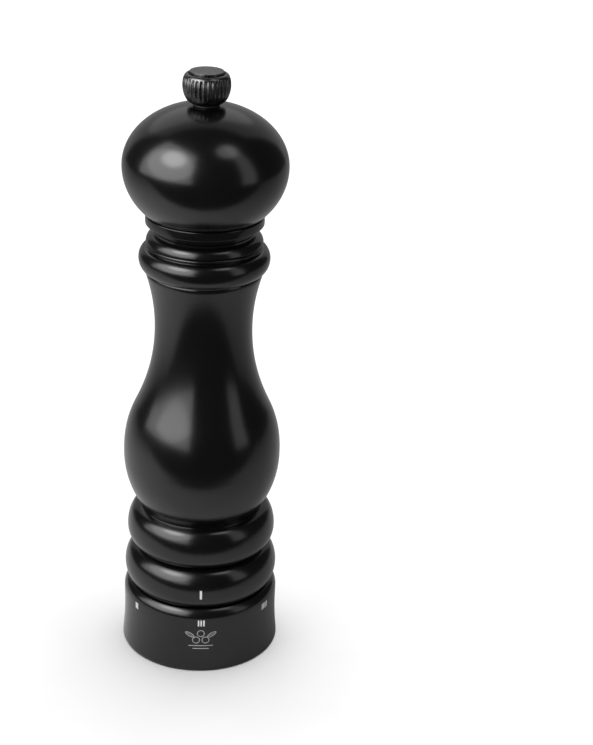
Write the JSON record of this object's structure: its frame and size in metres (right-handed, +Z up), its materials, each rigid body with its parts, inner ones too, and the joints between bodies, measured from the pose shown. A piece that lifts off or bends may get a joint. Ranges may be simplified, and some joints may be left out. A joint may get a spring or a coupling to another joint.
{
  "type": "pepper mill",
  "caption": "Turned black wooden pepper mill: a twisting head and knurled knob over a waisted body, a conical grinder in the foot and a turning base ring that sets the grind.",
  "frame": {"origin": "centre of the base ring's resting face", "axes": "+Z up along the mill's axis, -Y towards the index mark, +X to the right of someone facing the mark"},
  "size_m": [0.0588, 0.0588, 0.22],
  "materials": {
    "lacquered_wood": "black satin lacquer over turned wood",
    "knob_metal": "charcoal satin, fluted",
    "steel": "plain bright steel",
    "hard_steel": "dark case-hardened steel",
    "black_plastic": "moulded",
    "grey_plastic": "moulded",
    "brass": "turned"
  },
  "bodies": {
    "body": {"body": "lacquered_wood", "mechanism_housing": "grey_plastic", "housing_screw_1": "steel", "housing_screw_2": "steel", "housing_screw_3": "steel", "stator": "hard_steel", "retaining_clip": "steel", "detent_spring": "steel"},
    "drive": {"drive_shaft": "steel", "shaft_clip": "hard_steel", "hub_washer": "steel", "grind_spring": "steel"},
    "rotor": {"rotor": "hard_steel", "thrust_washer": "steel"},
    "head": {"head": "lacquered_wood", "drive_plate": "steel", "drive_plate_screw_1": "steel", "drive_plate_screw_2": "steel", "drive_plate_screw_3": "steel"},
    "knob_washer": {"knob_washer": "black_plastic"},
    "knob": {"knob": "knob_metal"},
    "grind_ring": {"base_ring": "lacquered_wood", "ring_carrier": "black_plastic"},
    "bridge": {"bridge": "black_plastic", "pivot_bush": "brass"}
  },
  "joints": [
    {"name": "head_turn", "type": "hinge", "parent": "body", "child": "drive", "pos_m": [0, 0, 0.1], "axis": [0, 0, 1], "continuous": true},
    {"name": "head_lift", "type": "slide", "parent": "drive", "child": "head", "axis": [0, 0, 1], "range_m": [0, 0.075]},
    {"name": "knob_turn", "type": "hinge", "parent": "head", "child": "knob_washer", "pos_m": [0, 0, 0.2085], "axis": [0, 0, 1], "range_deg": [0, 3645]},
    {"name": "knob_lift", "type": "slide", "parent": "knob_washer", "child": "knob", "axis": [0, 0, 1], "range_m": [0, 0.008]},
    {"name": "grind_ring_turn", "type": "hinge", "parent": "body", "child": "grind_ring", "pos_m": [0, 0, 0.012], "axis": [0, 0, 1], "range_deg": [-168, 112], "deforming": ["detent_spring"]},
    {"name": "bridge_slide", "type": "slide", "parent": "body", "child": "bridge", "axis": [0, 0, 1], "range_m": [-0.00091, 0.00061]},
    {"name": "rotor_slide", "type": "slide", "parent": "drive", "child": "rotor", "axis": [0, 0, 1], "range_m": [-0.00091, 0.00061], "deforming": ["grind_spring"]}
  ],
  "couplings": [
    {"joint": "knob_turn", "follows": "knob_lift", "rad_per_m": 7854},
    {"joint": "bridge_slide", "follows": "grind_ring_turn", "m_per_rad": 0.00030694},
    {"joint": "rotor_slide", "follows": "grind_ring_turn", "m_per_rad": 0.00030694}
  ]
}
